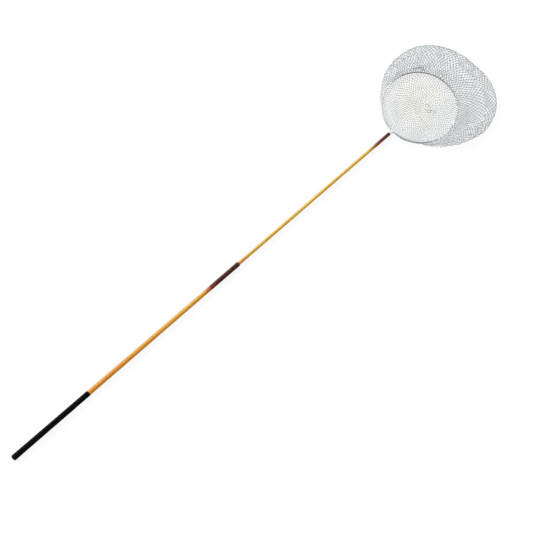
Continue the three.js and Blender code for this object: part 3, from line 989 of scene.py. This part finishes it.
def bar_lines(net, rng):
    """Each bar as a short line of points, for the wall and the floor. A shallow arc that is
    longer than its chord by a share of it bows by chord * sqrt(3 / 8 * share)."""
    bars = np.array(sorted(net.bars))
    start, end = net.knots[bars[:, 0]], net.knots[bars[:, 1]]
    chord = end - start
    length = np.linalg.norm(chord, axis=1)
    on_wall = net.on_wall[bars].any(axis=1)
    full_length = np.where(on_wall, BAR_LENGTH, FLOOR_BAR_LENGTH)
    slack = np.maximum(full_length / np.maximum(length, SHORTEST_BAR) - 1, LEAST_SLACK)
    bow = np.minimum(length * np.sqrt(3 / 8 * slack), MOST_BOW) * rng.uniform(-1, 1, len(bars))
    side = np.stack([chord[:, 1], -chord[:, 0], 0 * length], 1)
    side /= np.maximum(np.linalg.norm(side, axis=1), NEAR_ZERO)[:, None]
    tilt = rng.uniform(-MOST_TILT, MOST_TILT, len(bars))[:, None]
    way = side * np.cos(tilt) + np.array((0, 0, 1)) * np.sin(tilt)
    share = np.linspace(0, 1, BAR_POINTS)[None, :, None]
    aside = (way * bow[:, None])[:, None] * 4 * share * (1 - share)
    lines = start[:, None] + chord[:, None] * share + aside
    lines[:, :, 2] = np.maximum(lines[:, :, 2], FLOOR_Z + TWINE_RADIUS)
    return lines[on_wall], lines[~on_wall]


def pleat_lines():
    """Twines that lie side by side along each tuck, on top of the wall."""
    lines = []
    for angle, from_wire, heading, reach, _, count in TUCKS:
        middle = on_hoop(HOOP_RADIUS + from_wire, angle, 0)[:2]
        along = np.array([math.cos(heading), math.sin(heading)])
        across = np.array([-along[1], along[0]])
        for number in range(count):
            line = []
            for share in np.linspace(-1, 1, PLEAT_POINTS):
                spacing = TWINE_RADIUS * (PLEAT_SPACING + PLEAT_FANNING * share ** 2)
                aside = (number - (count - 1) / 2) * spacing
                spot = middle + reach * share * along + aside * across
                x, y = spot - np.array(HOOP_CENTRE[:2])
                wall = wall_line(math.atan2(y, x))
                top = wall[:int(np.argmax(wall[:, 0]))]
                height = np.interp(math.hypot(x, y), top[:, 0], top[:, 1])
                line.append([*spot, height + 2 * TWINE_RADIUS])
            lines.append(line)
    return lines


def rim_loops(net, first_row):
    """The rim's meshes, each looped round the wire between two knots of the first row."""
    wrap_radius = WIRE_RADIUS + RIM_TWINE_RADIUS
    turns = np.radians(np.linspace(*RIM_LOOP_DEGREES, RIM_LOOP_POINTS))
    shifts = np.linspace(-RIM_LOOP_SHIFT, RIM_LOOP_SHIFT, RIM_LOOP_POINTS) / HOOP_RADIUS
    loops = []
    for column, knot in first_row.items():
        partner = first_row.get((column + 1) % MESH_COUNT)
        if partner is None:
            continue
        start, end = net.knots[knot], net.knots[partner]
        middle = math.tau * (column + 0.5) / MESH_COUNT - math.pi
        wrap = [on_hoop(HOOP_RADIUS + wrap_radius * math.cos(turn), middle + shift,
                        wrap_radius * math.sin(turn))
                for turn, shift in zip(turns, shifts)]
        loops.append([start, *wrap, end])
    return loops


def tie_lines(rng):
    """The tie's cord: turns round the drawn-up meshes, a knot and two short tails."""
    centre = np.array(TIE_CENTRE)
    turns = np.linspace(0, TIE_TURNS * math.tau, TIE_POINTS)
    heights = TIE_CORD_RADIUS * (TIE_LIFT + TIE_CLIMB * turns / turns[-1])
    ring = [centre + np.array([TIE_TURN_RADIUS * math.cos(turn), TIE_TURN_RADIUS * math.sin(turn), up])
            for turn, up in zip(turns, heights)]
    crossing = centre + np.array([TIE_TURN_RADIUS, 0, TIE_CORD_RADIUS * TIE_KNOT_LIFT])
    knot_size = TIE_CORD_RADIUS * np.array(TIE_KNOT_SIZE)
    knot = [crossing + knot_size * np.array([math.sin(turn), math.cos(turn), math.sin(turn / 2)])
            for turn in np.linspace(0, TIE_KNOT_TURNS * math.tau, TIE_KNOT_POINTS)]
    lines = [ring, knot]
    lowest = FLOOR_Z + TAIL_REST + TIE_CORD_RADIUS
    for heading, length in TIE_TAILS:
        tail = []
        for share in np.linspace(0, 1, TAIL_POINTS):
            bend = heading + TAIL_BEND * math.copysign(share, heading) * share
            reach = length * share
            drop = max(1 - share / TAIL_DROP_END, 0) ** 2
            tail.append([
                crossing[0] + reach * math.cos(bend),
                crossing[1] + reach * math.sin(bend),
                lowest + (crossing[2] - lowest) * drop + TAIL_WAVER * rng.uniform(0, 1),
            ])
        lines.append(tail)
    return lines


# Pieces swept along lines, or set on points

def random_value(tree, low, high, seed):
    return result(add_node(tree, "FunctionNodeRandomValue", {"Min": low, "Max": high, "Seed": seed},
                           data_type="FLOAT" if isinstance(low, float) else "FLOAT_VECTOR"))


def stored(tree, geometry, name, value, kind="FLOAT", domain="POINT"):
    return result(add_node(tree, "GeometryNodeStoreNamedAttribute", {
        "Geometry": geometry,
        "Name": name,
        "Value": value,
    }, data_type=kind, domain=domain))


def circle(tree, corners, radius):
    inputs = {"Resolution": corners, "Radius": radius}
    return result(add_node(tree, "GeometryNodeCurvePrimitiveCircle", inputs))


def finish_geometry(tree, geometry, material, made):
    """Ends a tree: real geometry, smooth shading and the piece's finish."""
    real = add_node(tree, "GeometryNodeRealizeInstances", {"Geometry": geometry})
    smooth = add_node(tree, "GeometryNodeSetShadeSmooth", {"Geometry": result(real)})
    dressed = add_node(tree, "GeometryNodeSetMaterial", {
        "Geometry": result(smooth),
        "Material": material,
    })
    tree.links.new(result(dressed), made)


def make_twine_sweep():
    """Sweeps twine along lines of points. Each line gets a tone, and each point keeps how far
    along and on which side of the twine it is."""
    tree, given, made = new_group("twine sweep", "GeometryNodeTree", {
        "Lines": ("Geometry", None),
        "Radius": ("Float", TWINE_RADIUS),
        "Sides": ("Int", 5),
        "Seed": ("Int", NETTING_SEED),
        "Finish": ("Material", None),
    }, {"Twine": "Geometry"})
    tree.is_modifier = True
    curve = result(add_node(tree, "GeometryNodeMeshToCurve", {"Mesh": given["Lines"]}))
    along = add_node(tree, "GeometryNodeSplineParameter").outputs["Length"]
    curve = stored(tree, curve, "along_twine", along)
    own_tone = random_value(tree, 0.0, 1.0, given["Seed"])
    curve = stored(tree, curve, "own_tone", own_tone, domain="CURVE")
    section = circle(tree, given["Sides"], given["Radius"])
    position = result(add_node(tree, "GeometryNodeInputPosition"))
    side = calculate_vector(tree, "NORMALIZE", position)
    section = stored(tree, section, "round_twine", side, "FLOAT_VECTOR")
    swept = add_node(tree, "GeometryNodeCurveToMesh", {
        "Curve": curve,
        "Profile Curve": section,
        "Fill Caps": True,
    })
    finish_geometry(tree, result(swept), given["Finish"], made["Twine"])
    return tree


def make_knot_scatter():
    """Sets a knot on each point: a bead of drawn-up twine with one turn of twine round it."""
    tree, given, made = new_group("knot scatter", "GeometryNodeTree", {
        "Places": ("Geometry", None),
        "Radius": ("Float", KNOT_RADIUS),
        "Twine Radius": ("Float", TWINE_RADIUS),
        "Seed": ("Int", NETTING_SEED),
        "Finish": ("Material", None),
    }, {"Knots": "Geometry"})
    tree.is_modifier = True
    ball = {"Segments": 6, "Rings": 4, "Radius": given["Radius"]}
    bead = add_node(tree, "GeometryNodeMeshUVSphere", ball)
    bead = add_node(tree, "GeometryNodeTransform", {
        "Geometry": result(bead),
        "Scale": BEAD_SHAPE,
    })
    turn = add_node(tree, "GeometryNodeCurveToMesh", {
        "Curve": circle(tree, 7, given["Radius"]),
        "Profile Curve": circle(tree, 4, given["Twine Radius"]),
    })
    turn = add_node(tree, "GeometryNodeTransform", {
        "Geometry": result(turn),
        "Rotation": (0.0, KNOT_TURN_TILT, 0.0),
        "Scale": (KNOT_TURN_SIZE,) * 3,
    })
    knot = add_node(tree, "GeometryNodeJoinGeometry")
    tree.links.new(result(bead), knot.inputs[0])
    tree.links.new(result(turn), knot.inputs[0])
    points = result(add_node(tree, "GeometryNodeMeshToPoints", {"Mesh": given["Places"]}))
    least_turned = (-MOST_KNOT_TILT, -MOST_KNOT_TILT, 0.0)
    most_turned = (MOST_KNOT_TILT, MOST_KNOT_TILT, math.tau)
    placed = result(add_node(tree, "GeometryNodeInstanceOnPoints", {
        "Points": points,
        "Instance": result(knot),
        "Rotation": random_value(tree, least_turned, most_turned, given["Seed"]),
        "Scale": random_value(tree, *KNOT_SIZES, given["Seed"]),
    }))
    own_tone = random_value(tree, *KNOT_TONES, given["Seed"])
    placed = stored(tree, placed, "own_tone", own_tone, domain="INSTANCE")
    finish_geometry(tree, placed, given["Finish"], made["Knots"])
    return tree


twine_sweep = make_twine_sweep()
knot_scatter = make_knot_scatter()


def line_mesh(name, lines):
    """Open lines of points as a mesh of edges."""
    points = [point for line in lines for point in line]
    edges = []
    first = 0
    for line in lines:
        end = first + len(line)
        edges.extend(zip(range(first, end - 1), range(first + 1, end)))
        first = end
    mesh = bpy.data.meshes.new(name + "_lines")
    mesh.from_pydata([tuple(map(float, point)) for point in points], edges, [])
    return mesh


def grown(name, lines, tree, **inputs):
    """Runs a node tree on lines of points, and keeps the outcome as a plain piece that rides on
    the tip section."""
    source = add_object(name + "_source", line_mesh(name, lines))
    modifier = source.modifiers.new("grow", "NODES")
    modifier.node_group = tree
    sockets = {item.name: item.identifier for item in tree.interface.items_tree
               if item.item_type == "SOCKET" and item.in_out == "INPUT"}
    for key, value in inputs.items():
        modifier[sockets[key]] = value
    evaluated = source.evaluated_get(bpy.context.evaluated_depsgraph_get())
    grown_mesh = bpy.data.meshes.new_from_object(evaluated)
    grown_mesh.name = name
    bpy.data.objects.remove(source)
    piece = add_object(name, grown_mesh)
    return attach(piece, "tip_section")


def make_netting():
    """The visible bag and its tie, in place of their solids."""
    rng = np.random.default_rng(NETTING_SEED)
    net = Netting()
    floor_outer = floor_netting(net, rng)
    first_row = wall_netting(net, floor_outer)
    settle(net, rng)
    wall_bars, floor_bars = bar_lines(net, rng)
    for name, lines, radius in (
        ("bag_wall_twine", [*wall_bars, *pleat_lines()], TWINE_RADIUS),
        ("bag_floor_twine", floor_bars, TWINE_RADIUS),
        ("rim_loops", rim_loops(net, first_row), RIM_TWINE_RADIUS),
    ):
        piece = grown(name, lines, twine_sweep, Finish=net_nylon, Radius=radius)
        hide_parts("net_bag")
    for name, chosen in (("bag_wall_knots", net.on_wall), ("bag_floor_knots", ~net.on_wall)):
        places = [[point] for point in net.knots[chosen]]
        piece = grown(name, places, knot_scatter, Finish=net_nylon)
        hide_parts("net_bag")
    tie = grown("closing_tie", tie_lines(rng), twine_sweep,
                Finish=tie_nylon, Radius=TIE_CORD_RADIUS, Sides=8)
    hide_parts("bag_tie")


make_netting()
